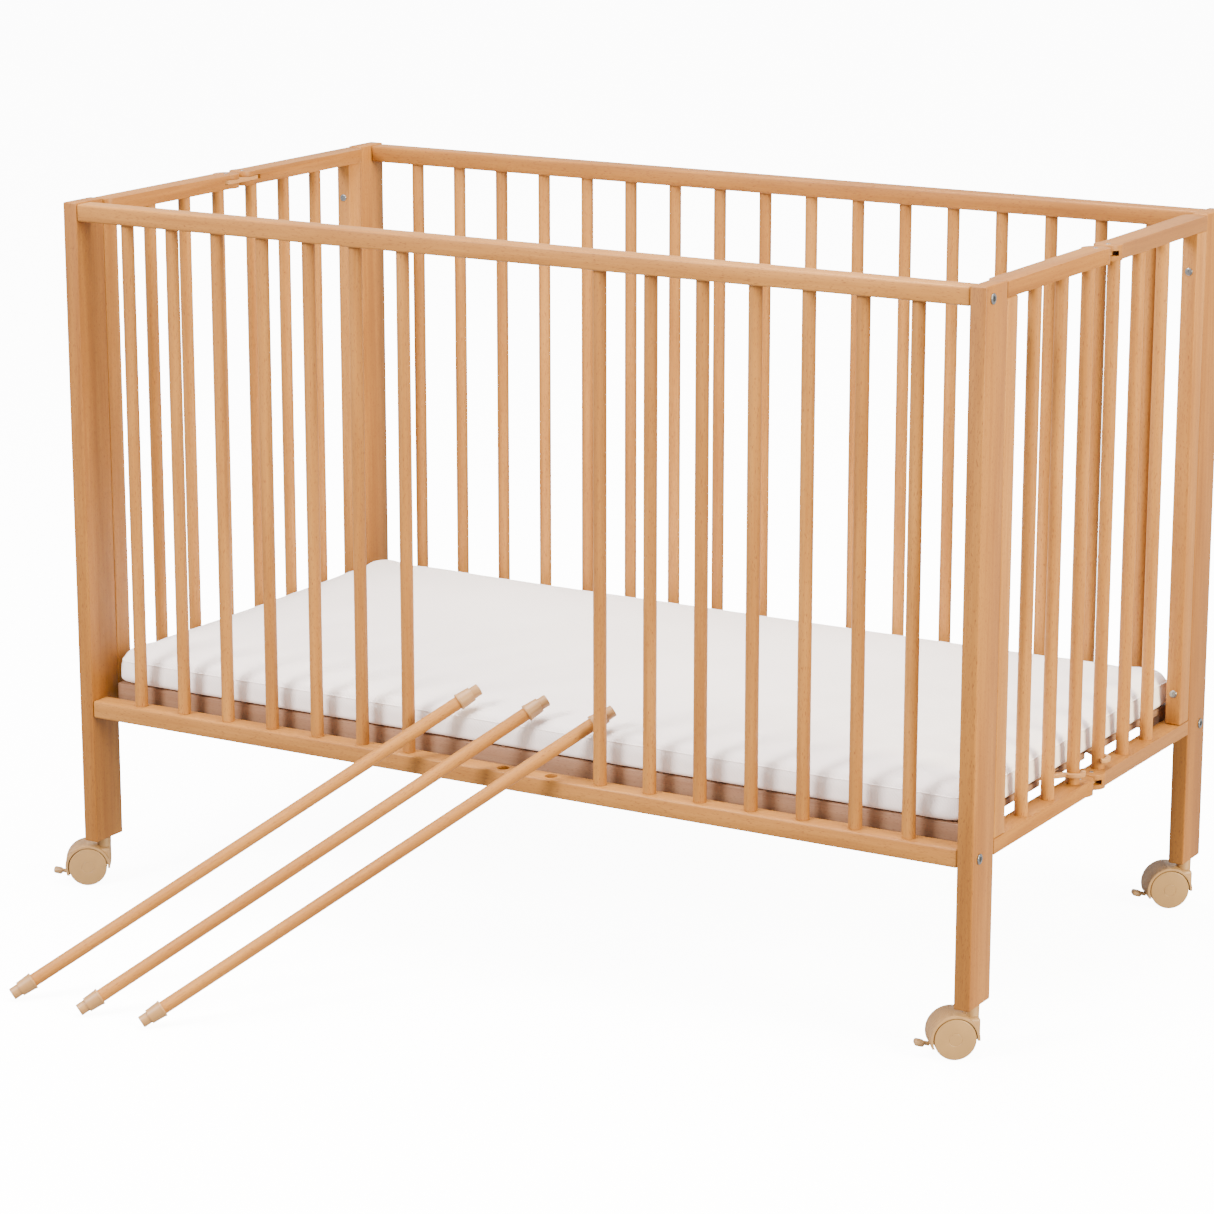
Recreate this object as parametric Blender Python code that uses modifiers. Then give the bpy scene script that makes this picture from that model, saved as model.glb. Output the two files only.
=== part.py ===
"""Folding wooden playpen on casters, with a mattress on a slatted base and three bars lifted out of the front.

X runs along the length, Y from front to back, Z up from the floor. Metres.
"""

import math

import bmesh
import bpy
from mathutils import Matrix, Vector

GAP = 0.0003

# The pen, measured over its posts
LENGTH = 1.255
DEPTH = 0.678
TOP = 0.885
PEN_X = 0.0212
PEN_Y = 0.1905

# Posts and stiles
POST_X = 0.020
POST_Y = 0.0545
POST_FOOT = 0.060
STILE_Y = 0.028
EASE = 0.0015

# Long sides
RAIL_Y = 0.028
RAIL_SET_BACK = 0.001
TOP_RAIL = (0.8620, 0.8835)
LOW_RAIL = (0.2262, 0.2486)
BAR_RADIUS = 0.008
BAR_COUNT = 17
REMOVED = (8, 9, 10)
SOCKET_DEPTH = 0.014
SOCKET_RADIUS = 0.0079

# Ends
END_RAIL_X = 0.028
END_TOP_RAIL = (0.8655, 0.8835)
END_LOW_RAIL = (0.2312, 0.2492)
END_BAR_PITCH = 0.073
PIN_HALF_SPACING = 0.018
PIN_RADIUS = 0.003
LINK_LENGTH = 0.074
LINK_WIDTH = 0.024
LINK_SHIFT = 0.005
LINK_THICK = 0.005
SLOT_HIGH = 0.0064
SLOT_DEEP = 0.046

# Base and mattress
BASE_X = 1.193
BASE_Y = 0.600
BASE_Z = (0.2360, 0.2655)
BASE_SHEET = 0.0080
SLAT_PITCH = 0.090
SLAT_WIDTH = 0.045
BASE_RIM = 0.035
MATTRESS_X = 1.205
MATTRESS_Y = 0.614
MATTRESS_Z = (0.2660, 0.3085)
MATTRESS_ROUND = 0.014

# Latches that hook the base onto the middle end bars
LATCH_Z = (0.2590, 0.2640)
LATCH_PIVOT = (0.578, 0.078)
LATCH_HUB = 0.010
LATCH_CLEAR = 0.0015
LATCH_BROAD = 0.0055

# Casters
CASTER_TURN = math.radians(36)
REAR_LEFT_TURN = math.radians(-30)
TRAIL = 0.021
WHEEL_RADIUS = 0.0245
WHEEL_WIDTH = 0.0145
WHEEL_INNER = 0.0045
AXLE_RADIUS = 0.0025
COVER_RADIUS = 0.0285
COVER_THICK = 0.0022
COVER_HALF = 0.0200
PLATE_RADIUS = 0.0215
STEM_RADIUS = 0.0088
PEDAL_BACK = 0.0315
PEDAL_HEIGHT = 0.0155

# Loose bars: lower and upper end of each, pen coordinates
LOOSE = (
    ((-0.4339, -0.7263, 0.0066), (-0.0565, -0.2870, 0.3298)),
    ((-0.3320, -0.7293, 0.0066), (0.0395, -0.2870, 0.3298)),
    ((-0.2450, -0.7243, 0.0066), (0.1315, -0.2870, 0.3298)),
)
CAP_TIP_RADIUS = 0.0073
CAP_TIP_LONG = 0.011
CAP_COLLAR_RADIUS = 0.0105
CAP_COLLAR_LONG = 0.019


def clear_scene():
    for obj in list(bpy.data.objects):
        bpy.data.objects.remove(obj)
    for mesh in list(bpy.data.meshes):
        bpy.data.meshes.remove(mesh)


def collection(name):
    made = bpy.data.collections.new(name)
    bpy.context.scene.collection.children.link(made)
    return made


def material(name, colour, roughness):
    made = bpy.data.materials.new(name)
    made.use_nodes = True
    shader = made.node_tree.nodes["Principled BSDF"]
    shader.inputs["Base Color"].default_value = (*colour, 1)
    shader.inputs["Roughness"].default_value = roughness
    return made


def beech():
    return material("beech", (0.72, 0.52, 0.33), 0.45)


def plywood():
    return material("plywood", (0.78, 0.62, 0.42), 0.55)


def base_wood():
    return material("base_wood", (0.70, 0.50, 0.31), 0.55)


def cover_fabric():
    return material("cover_fabric", (0.88, 0.86, 0.82), 0.9)


def caster_plastic():
    return material("caster_plastic", (0.72, 0.60, 0.45), 0.4)


def wheel_plastic():
    return material("wheel_plastic", (0.66, 0.54, 0.40), 0.45)


def box(bm, low, high):
    """One box between two corners."""
    middle = (Vector(low) + Vector(high)) / 2
    size = Vector(high) - Vector(low)
    bmesh.ops.create_cube(bm, size=1, matrix=Matrix.Translation(middle) @ Matrix.Diagonal((*size, 1)))


def rod(bm, start, end, radius, sides=16):
    """One round rod between two points."""
    start, end = Vector(start), Vector(end)
    turn = (end - start).to_track_quat("Z", "Y").to_matrix().to_4x4()
    place = Matrix.Translation((start + end) / 2) @ turn
    bmesh.ops.create_cone(
        bm,
        cap_ends=True,
        segments=sides,
        radius1=radius,
        radius2=radius,
        depth=(end - start).length,
        matrix=place,
    )


def slab(bm, outline, low, high):
    """A flat outline in X and Y, anticlockwise, made solid from low to high."""
    under = [bm.verts.new((x, y, low)) for x, y in outline]
    over = [bm.verts.new((x, y, high)) for x, y in outline]
    bm.faces.new(under[::-1])
    bm.faces.new(over)
    for i in range(len(outline)):
        j = (i + 1) % len(outline)
        bm.faces.new((under[i], under[j], over[j], over[i]))


def arc(centre, radius, first, last, steps):
    """Points on an arc, angles in degrees."""
    angles = [math.radians(first + (last - first) * i / steps) for i in range(steps + 1)]
    return [(centre[0] + radius * math.cos(a), centre[1] + radius * math.sin(a)) for a in angles]


def make(name, draw, finish=None, origin=(0, 0, 0)):
    """An object whose mesh is drawn in pen coordinates, with its origin moved to the given point."""
    mesh = bpy.data.meshes.new(name)
    bm = bmesh.new()
    draw(bm)
    bmesh.ops.recalc_face_normals(bm, faces=bm.faces)
    bmesh.ops.translate(bm, verts=bm.verts, vec=-Vector(origin))
    bm.to_mesh(mesh)
    bm.free()
    obj = bpy.data.objects.new(name, mesh)
    obj.location = Vector(origin) + Vector((PEN_X, PEN_Y, 0))
    if finish is None:
        CUTTERS.objects.link(obj)
        obj.hide_render = True
        obj.display_type = "WIRE"
    else:
        PLAYPEN.objects.link(obj)
        mesh.materials.append(finish)
    return obj


def boolean(obj, helper, operation):
    modifier = obj.modifiers.new(helper.name, "BOOLEAN")
    modifier.object = helper
    modifier.operation = operation
    modifier.solver = "EXACT"


def ease(obj, width=EASE, segments=1):
    """Rounds the long edges a little."""
    modifier = obj.modifiers.new("ease", "BEVEL")
    modifier.width = width
    modifier.segments = segments
    modifier.limit_method = "ANGLE"
    modifier.angle_limit = math.radians(40)


def bar_x(number):
    """Middle of a front or rear bar, numbered from 1 at the left."""
    inner = LENGTH - 2 * POST_X
    return -inner / 2 + inner * number / (BAR_COUNT + 1)


def side_y(side):
    """Middle of a long side's rails and bars: side is -1 at the front and 1 at the back."""
    return side * (DEPTH / 2 - RAIL_SET_BACK - RAIL_Y / 2)


def end_x(end):
    """Middle of an end's rails and bars: end is -1 at the left and 1 at the right."""
    return end * (LENGTH / 2 - END_RAIL_X / 2)


def post(name, end, side):
    def draw(bm):
        x = sorted((end * LENGTH / 2, end * (LENGTH / 2 - POST_X)))
        y = sorted((side * DEPTH / 2, side * (DEPTH / 2 - POST_Y)))
        box(bm, (x[0], y[0], POST_FOOT), (x[1], y[1], TOP))

    ease(make("post_" + name, draw, WOOD))


def stile(name, end, side):
    def draw(bm):
        x = sorted((end * LENGTH / 2, end * (LENGTH / 2 - POST_X)))
        near = DEPTH / 2 - POST_Y - GAP
        y = sorted((side * near, side * (near - STILE_Y)))
        box(bm, (x[0], y[0], END_LOW_RAIL[1] + GAP), (x[1], y[1], END_TOP_RAIL[0] - GAP))

    ease(make("stile_" + name, draw, WOOD))


def rail_box(bm, side, heights):
    half = LENGTH / 2 - POST_X - GAP
    y = side_y(side)
    box(bm, (-half, y - RAIL_Y / 2, heights[0]), (half, y + RAIL_Y / 2, heights[1]))


def front_rail(name, heights, socket_heights):
    """A front rail with the three empty sockets of the removed bars."""
    rail = make(name, lambda bm: rail_box(bm, -1, heights), WOOD)
    ease(rail)

    def draw(bm):
        for number in REMOVED:
            at = bar_x(number), side_y(-1)
            rod(bm, (*at, socket_heights[0]), (*at, socket_heights[1]), SOCKET_RADIUS, 12)

    boolean(rail, make(name + "_sockets", draw), "DIFFERENCE")


def front_bars():
    for number in range(1, BAR_COUNT + 1):
        if number in REMOVED:
            continue
        at = bar_x(number), side_y(-1)
        ends = (*at, LOW_RAIL[1] + GAP), (*at, TOP_RAIL[0] - GAP)
        make(f"bar_front_{number:02d}", lambda bm, ends=ends: rod(bm, *ends, BAR_RADIUS), WOOD)


def rear_side():
    """The rear rails with all their bars glued in."""
    side = make("side_rear", lambda bm: rail_box(bm, 1, TOP_RAIL), WOOD)

    def draw(bm):
        for number in range(1, BAR_COUNT + 1):
            at = bar_x(number), side_y(1)
            rod(bm, (*at, LOW_RAIL[0] + 0.006), (*at, TOP_RAIL[1] - 0.006), BAR_RADIUS, 12)

    boolean(side, make("side_rear_bars", draw), "UNION")
    boolean(side, make("side_rear_low_rail", lambda bm: rail_box(bm, 1, LOW_RAIL)), "UNION")


def half_rail_outline(end, side):
    """Half an end rail: round about its hinge pin in the middle, with the inner corner rounded at the post."""
    x = end_x(end)
    half = END_RAIL_X / 2
    tail = DEPTH / 2 - POST_Y - GAP
    outline = arc((x, PIN_HALF_SPACING), half, 180, 360, 12)
    outline += [(x + half, tail)] if end > 0 else arc((x, tail - half), half, 0, 90, 6)
    outline += arc((x, tail - half), half, 90, 180, 6) if end > 0 else [(x - half, tail)]
    if side > 0:
        return outline
    return [(px, -py) for px, py in outline][::-1]


def half_panel(name, end, side):
    """Half of an end: top and bottom half rails with three bars glued between them."""
    outline = half_rail_outline(end, side)
    panel = make("end_" + name, lambda bm: slab(bm, outline, *END_TOP_RAIL), WOOD)
    x = end_x(end)
    rails = END_TOP_RAIL, END_LOW_RAIL

    def bars(bm):
        for step in (0.5, 1.5, 2.5):
            at = x, side * step * END_BAR_PITCH
            rod(bm, (*at, END_LOW_RAIL[0] + 0.002), (*at, END_TOP_RAIL[1] - 0.002), BAR_RADIUS, 12)

    def slots(bm):
        y = sorted((0, side * SLOT_DEEP))
        for low, high in rails:
            middle = (low + high) / 2
            box(
                bm,
                (x - END_RAIL_X, y[0], middle - SLOT_HIGH / 2),
                (x + END_RAIL_X, y[1], middle + SLOT_HIGH / 2),
            )

    def pin_holes(bm):
        for low, high in rails:
            at = x, side * PIN_HALF_SPACING
            rod(bm, (*at, low - 0.002), (*at, high + 0.002), PIN_RADIUS + GAP, 12)

    boolean(panel, make(f"end_{name}_low_rail", lambda bm: slab(bm, outline, *END_LOW_RAIL)), "UNION")
    boolean(panel, make(f"end_{name}_bars", bars), "UNION")
    boolean(panel, make(f"end_{name}_slots", slots), "DIFFERENCE")
    boolean(panel, make(f"end_{name}_pin_holes", pin_holes), "DIFFERENCE")


def hinge_link(name, end, heights):
    """The plywood link between two half rails, with its two pins."""
    x = end_x(end)
    middle = (heights[0] + heights[1]) / 2
    round_end = LINK_WIDTH / 2
    reach = LINK_LENGTH / 2 - round_end
    inward = x - end * LINK_SHIFT
    outline = arc((inward, reach), round_end, 0, 180, 8) + arc((inward, -reach), round_end, 180, 360, 8)
    low, high = middle - LINK_THICK / 2, middle + LINK_THICK / 2
    link = make("link_" + name, lambda bm: slab(bm, outline, low, high), PLY)

    def pins(bm):
        for side in (-1, 1):
            at = x, side * PIN_HALF_SPACING
            rod(bm, (*at, heights[0] + GAP), (*at, heights[1] + GAP), PIN_RADIUS, 12)

    boolean(link, make(f"link_{name}_pins", pins), "UNION")


def base():
    """The base: a slatted sheet on a front and a back rail, notched underneath at the ends for the latches."""
    half_x, half_y = BASE_X / 2, BASE_Y / 2
    under = BASE_Z[1] - BASE_SHEET

    def rails(bm):
        for side in (-1, 1):
            y = sorted((side * half_y, side * (half_y - BASE_RIM)))
            box(bm, (-half_x, y[0], BASE_Z[0]), (half_x, y[1], BASE_Z[1] - 0.002))

    def gaps(bm):
        for i in range(12):
            x = (i - 5.5) * SLAT_PITCH
            wide, deep = SLAT_WIDTH / 2, half_y - BASE_RIM
            box(bm, (x - wide, -deep, BASE_Z[0] - 0.01), (x + wide, deep, BASE_Z[1] + 0.01))

    def notches(bm):
        for end in (-1, 1):
            for side in (-1, 1):
                x = sorted((end * 0.566, end * 0.600))
                y = sorted((side * 0.036, side * 0.094))
                box(bm, (x[0], y[0], under - 0.01), (x[1], y[1], LATCH_Z[1] + 0.0006))

    sheet = make("base", lambda bm: box(bm, (-half_x, -half_y, under), (half_x, half_y, BASE_Z[1])), BASE)
    boolean(sheet, make("base_rails", rails), "UNION")
    boolean(sheet, make("base_gaps", gaps), "DIFFERENCE")
    boolean(sheet, make("base_notches", notches), "DIFFERENCE")


def mattress():
    def draw(bm):
        half = Vector((MATTRESS_X / 2, MATTRESS_Y / 2, 0))
        box(bm, (-half.x, -half.y, MATTRESS_Z[0]), (half.x, half.y, MATTRESS_Z[1]))

    made = make("mattress", draw, COVER)
    ease(made, MATTRESS_ROUND, 3)


def latch_outline():
    """Hub, arm and half ring of the latch at the right end, rear half."""
    bar = Vector((LENGTH / 2 - END_RAIL_X / 2, END_BAR_PITCH / 2))
    pivot = Vector(LATCH_PIVOT)
    along = (bar - pivot).normalized()
    facing = math.degrees(math.atan2(along.y, along.x))
    inner = BAR_RADIUS + LATCH_CLEAR
    outer = inner + LATCH_BROAD
    half_ring = arc(bar, inner, facing + 180, facing, 10)
    back = arc(bar, outer, facing, facing + 150, 10)
    hub = arc(pivot, LATCH_HUB, facing + 60, facing + 310, 12)
    return half_ring + back + hub


def latch(name, end, side):
    """A turn latch: its half ring holds the bar beside the end's middle hinge."""
    outline = [(end * x, side * y) for x, y in latch_outline()]
    if end * side > 0:
        outline = outline[::-1]
    pivot = end * LATCH_PIVOT[0], side * LATCH_PIVOT[1], LATCH_Z[0]
    make("latch_" + name, lambda bm: slab(bm, outline[::-1], *LATCH_Z), PLY, pivot)


def loose_bar(number, low, high):
    """A removed bar with a stepped plastic cap on each end."""
    low, high = Vector(low), Vector(high)
    along = (high - low).normalized()
    tip = along * CAP_TIP_LONG
    cap = along * (CAP_TIP_LONG + CAP_COLLAR_LONG)

    def draw(bm):
        rod(bm, low + cap - along * 0.003, high - cap + along * 0.003, BAR_RADIUS)

    def collars(bm):
        rod(bm, low + tip, low + cap, CAP_COLLAR_RADIUS)
        rod(bm, high - cap, high - tip, CAP_COLLAR_RADIUS)

    def tips(bm):
        rod(bm, low, low + tip + along * 0.003, CAP_TIP_RADIUS, 12)
        rod(bm, high - tip - along * 0.003, high, CAP_TIP_RADIUS, 12)

    bar = make(f"bar_loose_{number}", draw, WOOD)
    boolean(bar, make(f"bar_loose_{number}_collars", collars), "UNION")
    boolean(bar, make(f"bar_loose_{number}_tips", tips), "UNION")


def stem_at(end, side):
    return end * (LENGTH / 2 - POST_X / 2), side * (DEPTH / 2 - POST_Y / 2)


def caster_turn(end, side):
    """How far a caster has swivelled: the hidden rear left one stands another way."""
    return REAR_LEFT_TURN if end < 0 < side else CASTER_TURN


def turned(draw, end, side):
    """The same drawing, swung with its caster about the stem."""

    def swung(bm):
        draw(bm)
        x, y = stem_at(end, side)
        turn = Matrix.Rotation(caster_turn(end, side), 3, "Z")
        bmesh.ops.rotate(bm, cent=(x, y, 0), matrix=turn, verts=bm.verts)

    return swung


def caster_point(end, side, back, height):
    """A point on the caster's middle plane, a distance behind its stem."""
    x, y = stem_at(end, side)
    turn = caster_turn(end, side)
    return x - back * math.cos(turn), y - back * math.sin(turn), height


def upright(bm, outline, y, half):
    """An outline in X and Z made solid to both sides of a middle plane."""
    slab(bm, outline, -half, half)
    turn = Matrix.Rotation(math.pi / 2, 4, "X")
    bmesh.ops.transform(bm, matrix=Matrix.Translation((0, y, 0)) @ turn, verts=bm.verts)


def caster_hood(name, end, side):
    """Curved cover, plate between the wheels, and the housing of the stem."""
    x, y = stem_at(end, side)
    hub = x - TRAIL

    def cover(bm):
        outside = arc((hub, WHEEL_RADIUS), COVER_RADIUS, 5, 180, 18)
        inside = arc((hub, WHEEL_RADIUS), COVER_RADIUS - COVER_THICK, 180, 5, 18)
        upright(bm, outside + inside, y, COVER_HALF)

    def web(bm):
        box(bm, (hub - 0.016, y - 0.0029, 0.030), (hub + 0.016, y + 0.0029, 0.0500))

    def plate(bm):
        rod(bm, (hub, y - 0.003, WHEEL_RADIUS), (hub, y + 0.003, WHEEL_RADIUS), PLATE_RADIUS, 24)

    def housing(bm):
        rod(bm, (x, y, 0.0285), (x, y, POST_FOOT - GAP), STEM_RADIUS, 20)

    def toe(bm):
        box(bm, (hub - 0.0272, y - 0.0028, 0.0125), (hub - 0.0180, y + 0.0028, 0.0195))

    def wheel_room(bm):
        for way in (-1, 1):
            near, far = way * 0.0038, way * 0.0215
            rod(bm, (hub, y + near, WHEEL_RADIUS), (hub, y + far, WHEEL_RADIUS), WHEEL_RADIUS + 0.001, 36)

    def axle_hole(bm):
        ends = (hub, y - 0.01, WHEEL_RADIUS), (hub, y + 0.01, WHEEL_RADIUS)
        rod(bm, *ends, AXLE_RADIUS + GAP, 12)

    hood = make("hood_" + name, turned(cover, end, side), CASTER, (x, y, POST_FOOT))
    for label, draw, operation in (
        ("web", web, "UNION"),
        ("plate", plate, "UNION"),
        ("toe", toe, "UNION"),
        ("housing", housing, "UNION"),
        ("wheel_room", wheel_room, "DIFFERENCE"),
        ("axle_hole", axle_hole, "DIFFERENCE"),
    ):
        boolean(hood, make(f"hood_{name}_{label}", turned(draw, end, side)), operation)


def caster_wheels(name, end, side):
    """Two wheels on one axle."""
    x, y = stem_at(end, side)
    hub = x - TRAIL

    def wheels(bm):
        for way in (-1, 1):
            near, far = way * WHEEL_INNER, way * (WHEEL_INNER + WHEEL_WIDTH)
            rod(bm, (hub, y + near, WHEEL_RADIUS), (hub, y + far, WHEEL_RADIUS), WHEEL_RADIUS, 32)

    def axle(bm):
        rod(bm, (hub, y - 0.008, WHEEL_RADIUS), (hub, y + 0.008, WHEEL_RADIUS), AXLE_RADIUS, 12)

    origin = caster_point(end, side, TRAIL, WHEEL_RADIUS)
    pair = make("wheels_" + name, turned(wheels, end, side), WHEELS, origin)
    boolean(pair, make(f"wheels_{name}_axle", turned(axle, end, side)), "UNION")


def brake_lever(name, end, side):
    """The pedal that sticks out behind the wheels."""
    x, y = stem_at(end, side)
    pivot = x - TRAIL - PEDAL_BACK

    def draw(bm):
        outline = [
            (pivot + 0.0030, 0.0180),
            (pivot - 0.0015, 0.0188),
            (pivot - 0.0085, 0.0165),
            (pivot - 0.0130, 0.0135),
            (pivot - 0.0128, 0.0110),
            (pivot - 0.0080, 0.0100),
            (pivot - 0.0015, 0.0120),
            (pivot + 0.0030, 0.0130),
        ]
        upright(bm, outline[::-1], y, 0.0070)

    origin = caster_point(end, side, TRAIL + PEDAL_BACK, PEDAL_HEIGHT)
    make("brake_" + name, turned(draw, end, side), CASTER, origin)


clear_scene()
PLAYPEN = collection("playpen")
CUTTERS = collection("cutters")
CUTTERS.hide_render = True
WOOD = beech()
PLY = plywood()
BASE = base_wood()
COVER = cover_fabric()
CASTER = caster_plastic()
WHEELS = wheel_plastic()

front_rail("rail_front_top", TOP_RAIL, (TOP_RAIL[0] - 0.01, TOP_RAIL[0] + SOCKET_DEPTH))
front_rail("rail_front_low", LOW_RAIL, (LOW_RAIL[1] - SOCKET_DEPTH, LOW_RAIL[1] + 0.01))
front_bars()
rear_side()
for end_name, end_sign in (("left", -1), ("right", 1)):
    hinge_link(end_name + "_top", end_sign, END_TOP_RAIL)
    hinge_link(end_name + "_low", end_sign, END_LOW_RAIL)
    for side_name, side_sign in (("front", -1), ("rear", 1)):
        corner = f"{side_name}_{end_name}"
        post(corner, end_sign, side_sign)
        stile(corner, end_sign, side_sign)
        half_panel(f"{end_name}_{side_name}", end_sign, side_sign)
        latch(f"{end_name}_{side_name}", end_sign, side_sign)
        caster_hood(corner, end_sign, side_sign)
        caster_wheels(corner, end_sign, side_sign)
        brake_lever(corner, end_sign, side_sign)
base()
mattress()
for bar_number, bar_ends in enumerate(LOOSE, 1):
    loose_bar(bar_number, *bar_ends)
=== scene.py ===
# %% [markdown]
# # A folding wooden playpen
#
# This lesson builds the looks of a playpen: four posts on casters, barred sides, ends that fold in the
# middle, a slatted base with a mattress on it, and three bars that have been lifted out of the front.
# The working model underneath knows how the pieces move. Here each visible piece is modelled by hand,
# given its finish, and told which moving body it rides on.

import math

import bpy
from mathutils import Matrix, Vector


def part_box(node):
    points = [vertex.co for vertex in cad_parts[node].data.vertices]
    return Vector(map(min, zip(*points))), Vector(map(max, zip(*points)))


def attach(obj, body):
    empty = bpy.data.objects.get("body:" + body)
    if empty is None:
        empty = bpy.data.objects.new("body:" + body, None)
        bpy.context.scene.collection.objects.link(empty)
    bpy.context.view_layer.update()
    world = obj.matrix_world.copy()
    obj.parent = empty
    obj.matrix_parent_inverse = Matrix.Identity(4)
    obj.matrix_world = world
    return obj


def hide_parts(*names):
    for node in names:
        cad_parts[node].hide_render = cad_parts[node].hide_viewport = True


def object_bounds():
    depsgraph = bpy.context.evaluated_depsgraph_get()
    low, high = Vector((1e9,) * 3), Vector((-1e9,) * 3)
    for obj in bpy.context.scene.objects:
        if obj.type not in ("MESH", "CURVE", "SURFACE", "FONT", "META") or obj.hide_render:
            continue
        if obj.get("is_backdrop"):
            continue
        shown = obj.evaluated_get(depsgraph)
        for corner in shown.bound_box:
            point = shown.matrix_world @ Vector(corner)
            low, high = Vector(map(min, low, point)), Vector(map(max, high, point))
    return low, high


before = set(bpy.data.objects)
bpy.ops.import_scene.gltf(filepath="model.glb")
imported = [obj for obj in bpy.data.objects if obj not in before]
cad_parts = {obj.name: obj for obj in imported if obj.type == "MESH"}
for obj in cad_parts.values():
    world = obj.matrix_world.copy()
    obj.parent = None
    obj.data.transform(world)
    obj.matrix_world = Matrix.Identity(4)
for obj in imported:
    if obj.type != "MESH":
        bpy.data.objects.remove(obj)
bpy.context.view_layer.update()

# %% [markdown]
# ## The pen's middle
#
# Most sizes are easiest to think of from the middle of the pen. The posts give that middle and the
# outer size, so they are measured first.

# %% The pen's middle and size
post_low, post_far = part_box("post_front_left"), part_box("post_rear_right")
PEN_LOW, PEN_HIGH = Vector(post_low[0]), Vector(post_far[1])
PEN = Vector(((PEN_LOW.x + PEN_HIGH.x) / 2, (PEN_LOW.y + PEN_HIGH.y) / 2, 0))
HALF_LENGTH = (PEN_HIGH.x - PEN_LOW.x) / 2
HALF_DEPTH = (PEN_HIGH.y - PEN_LOW.y) / 2
FOOT = PEN_LOW.z
CORNERS = [
    ("front", -1, "left", -1),
    ("front", -1, "right", 1),
    ("rear", 1, "left", -1),
    ("rear", 1, "right", 1),
]
print(f"the pen is {2 * HALF_LENGTH:.3f} m long and {2 * HALF_DEPTH:.3f} m deep")
print(f"its middle is at {PEN.x:.4f}, {PEN.y:.4f}")

# %% [markdown]
# ## Small helpers for modelling
#
# An operator works on whatever is selected, so one helper picks a single object and another joins or
# finishes it. A finished piece has its place inside its mesh and its own object at the origin.

# %% Helpers for picking, finishing and combining
def pick(*objs):
    """Only these objects are selected, and the first is active."""
    bpy.ops.object.select_all(action="DESELECT")
    for obj in objs:
        obj.select_set(True)
    bpy.context.view_layer.objects.active = objs[0]
    return objs[0]


def settle(obj):
    """The object's place, turn and scale go into its mesh."""
    pick(obj)
    bpy.ops.object.transform_apply(location=True, rotation=True, scale=True)
    return obj


def bring_in(obj, kind, **settings):
    """A modifier, added and applied at once."""
    pick(obj)
    modifier = obj.modifiers.new(kind.lower(), kind)
    for key, value in settings.items():
        setattr(modifier, key, value)
    bpy.ops.object.modifier_apply(modifier=modifier.name)
    return obj


def combine(obj, other, operation):
    """Joins or cuts with another shape, which is then gone."""
    bring_in(obj, "BOOLEAN", object=other, operation=operation, solver="EXACT")
    bpy.data.objects.remove(other)
    return obj


def join(objs, name):
    """Several shapes as one piece."""
    pick(*objs)
    bpy.ops.object.join()
    made = bpy.context.object
    made.name = made.data.name = name
    return made


def smooth(obj, degrees=35):
    """Rounded faces shade smoothly and corners stay crisp."""
    pick(obj)
    bpy.ops.object.shade_smooth_by_angle(angle=math.radians(degrees))
    return obj


def twin(obj, name, matrix):
    """A copy with its own mesh, moved by a matrix."""
    pick(obj)
    bpy.ops.object.duplicate()
    made = bpy.context.object
    made.name = made.data.name = name
    made.matrix_world = matrix @ made.matrix_world
    settle(made)
    if matrix.determinant() < 0:
        outward(made)
    return made


def outward(obj):
    """All faces point away from the inside."""
    pick(obj)
    bpy.ops.object.mode_set(mode="EDIT")
    bpy.ops.mesh.select_all(action="SELECT")
    bpy.ops.mesh.remove_doubles(threshold=0.000005)
    bpy.ops.mesh.normals_make_consistent(inside=False)
    bpy.ops.object.mode_set(mode="OBJECT")
    return obj


def block(name, low, high):
    """A plain block between two corners."""
    low, high = Vector(low), Vector(high)
    bpy.ops.object.select_all(action="DESELECT")
    bpy.ops.mesh.primitive_cube_add(size=1, location=(low + high) / 2)
    made = bpy.context.object
    made.name = made.data.name = name
    made.scale = high - low
    return settle(made)


def round_bar(name, start, end, radius, sides=36, top_radius=None):
    """A round bar or cone between two points."""
    start, end = Vector(start), Vector(end)
    turn = (end - start).to_track_quat("Z", "Y").to_euler()
    bpy.ops.object.select_all(action="DESELECT")
    bpy.ops.mesh.primitive_cone_add(
        vertices=sides,
        radius1=radius,
        radius2=radius if top_radius is None else top_radius,
        depth=(end - start).length,
        location=(start + end) / 2,
        rotation=turn,
    )
    made = bpy.context.object
    made.name = made.data.name = name
    return settle(made)


def select_faces(obj, keep):
    """In edit mode, selects the faces whose centre and normal pass the test."""
    pick(obj)
    bpy.ops.object.mode_set(mode="EDIT")
    bpy.ops.mesh.select_mode(type="FACE")
    bpy.ops.mesh.select_all(action="DESELECT")
    bpy.ops.object.mode_set(mode="OBJECT")
    chosen = 0
    for face in obj.data.polygons:
        face.select = bool(keep(face.center, face.normal))
        chosen += face.select
    bpy.ops.object.mode_set(mode="EDIT")
    return chosen


def select_edges(obj, keep):
    """In edit mode, selects the edges whose two ends pass the test."""
    pick(obj)
    bpy.ops.object.mode_set(mode="EDIT")
    bpy.ops.mesh.select_mode(type="EDGE")
    bpy.ops.mesh.select_all(action="DESELECT")
    bpy.ops.object.mode_set(mode="OBJECT")
    for edge in obj.data.edges:
        a, b = (obj.data.vertices[i].co for i in edge.vertices)
        edge.select = bool(keep(a, b))
    bpy.ops.object.mode_set(mode="EDIT")


# %% [markdown]
# ## Finishes
#
# The pen is oiled and lacquered beech. Beech is a pale, even, pinkish tan: no strong rings, but soft
# bands of tone along the board and thousands of short dark flecks that lie with the grain. The pattern
# is built from noise that is stretched along one direction, so each material is told which way its
# board runs. The coordinates are the object's own, so neighbouring bars show different wood.

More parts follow.
